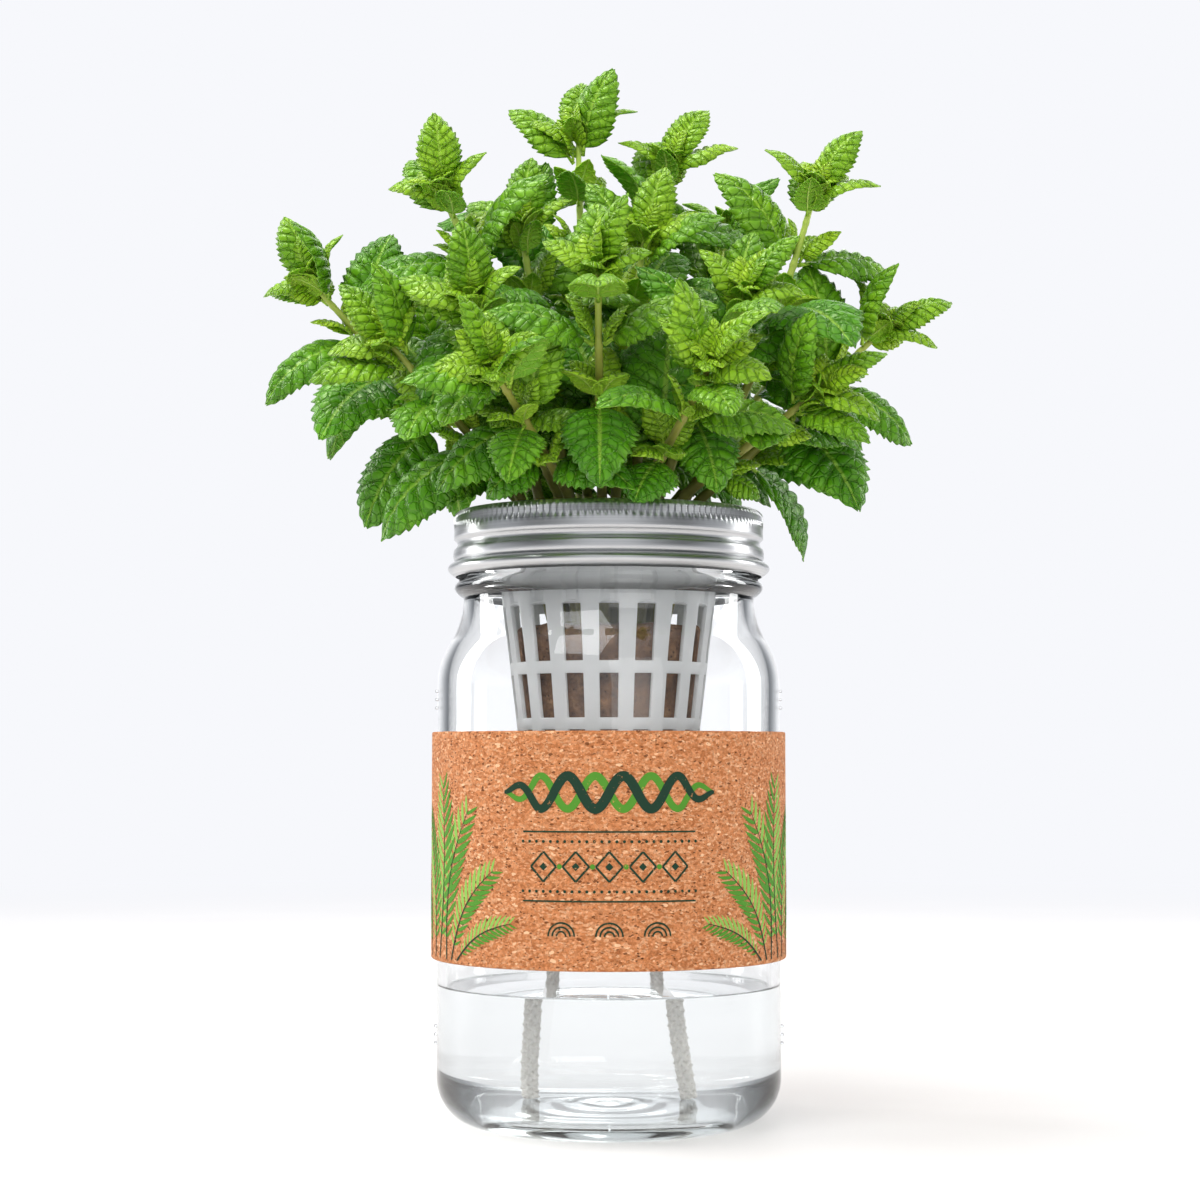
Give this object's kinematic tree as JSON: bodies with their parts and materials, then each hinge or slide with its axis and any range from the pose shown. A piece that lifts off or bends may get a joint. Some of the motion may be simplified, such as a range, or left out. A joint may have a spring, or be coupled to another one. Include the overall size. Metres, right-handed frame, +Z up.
{
  "type": "hydroponic jar planter",
  "caption": "Glass jar planter with a screw band, a slotted net pot on wicks, a grow plug, a cork sleeve and a leafy herb.",
  "frame": {"origin": "on the jar's axis, at the level of the surface it stands on", "axes": "+Z up along the jar's axis; the front of the label looks along -Y"},
  "size_m": [0.1962, 0.1632, 0.3066],
  "materials": {
    "clear_glass": "polished",
    "cork": "matt pressed cork",
    "white_plastic": "satin moulded",
    "band_metal": "satin rolled",
    "plug_peat": "rough pressed peat",
    "wick_cotton": "braided cotton",
    "herb_stem": "green, slightly hairy",
    "herb_leaf": "glossy quilted leaf"
  },
  "bodies": {
    "jar": {"glass_jar": "clear_glass", "cork_label": "cork"},
    "insert": {"net_pot": "white_plastic", "wick_left": "wick_cotton", "wick_right": "wick_cotton"},
    "band": {"screw_band": "band_metal"},
    "plant": {"grow_plug": "plug_peat", "stem_left": "herb_stem", "stem_top": "herb_stem", "stem_centre_right": "herb_stem", "stem_right": "herb_stem", "stem_front": "herb_stem", "stem_centre": "herb_stem", "stem_centre_left": "herb_stem", "stem_mid_right": "herb_stem", "stem_mid_left": "herb_stem", "stem_front_left": "herb_stem", "stem_far_left": "herb_stem", "stem_far_right": "herb_stem", "stem_front_right": "herb_stem", "stem_low_front_right": "herb_stem", "stem_low_front_left": "herb_stem", "stem_right_rear": "herb_stem", "stem_left_rear": "herb_stem", "stem_rear": "herb_stem", "stem_rear_right": "herb_stem", "stem_rear_left": "herb_stem", "stem_low_rear": "herb_stem", "leaves_left": "herb_leaf", "leaves_top": "herb_leaf", "leaves_centre_right": "herb_leaf", "leaves_right": "herb_leaf", "leaves_front": "herb_leaf", "leaves_centre": "herb_leaf", "leaves_centre_left": "herb_leaf", "leaves_mid_right": "herb_leaf", "leaves_mid_left": "herb_leaf", "leaves_front_left": "herb_leaf", "leaves_far_left": "herb_leaf", "leaves_far_right": "herb_leaf", "leaves_front_right": "herb_leaf", "leaves_low_front_right": "herb_leaf", "leaves_low_front_left": "herb_leaf", "leaves_right_rear": "herb_leaf", "leaves_left_rear": "herb_leaf", "leaves_rear": "herb_leaf", "leaves_rear_right": "herb_leaf", "leaves_rear_left": "herb_leaf", "leaves_low_rear": "herb_leaf"}
  },
  "joints": [
    {"name": "insert_lift", "type": "slide", "parent": "jar", "child": "insert", "axis": [0, 0, 1], "range_m": [0, 0.18]},
    {"name": "band_turn", "type": "hinge", "parent": "insert", "child": "band", "pos_m": [0, 0, 0.17], "axis": [0, 0, 1], "range_deg": [0, 450]},
    {"name": "plant_lift", "type": "slide", "parent": "insert", "child": "plant", "axis": [0, 0, 1], "range_m": [0, 0.085]}
  ]
}
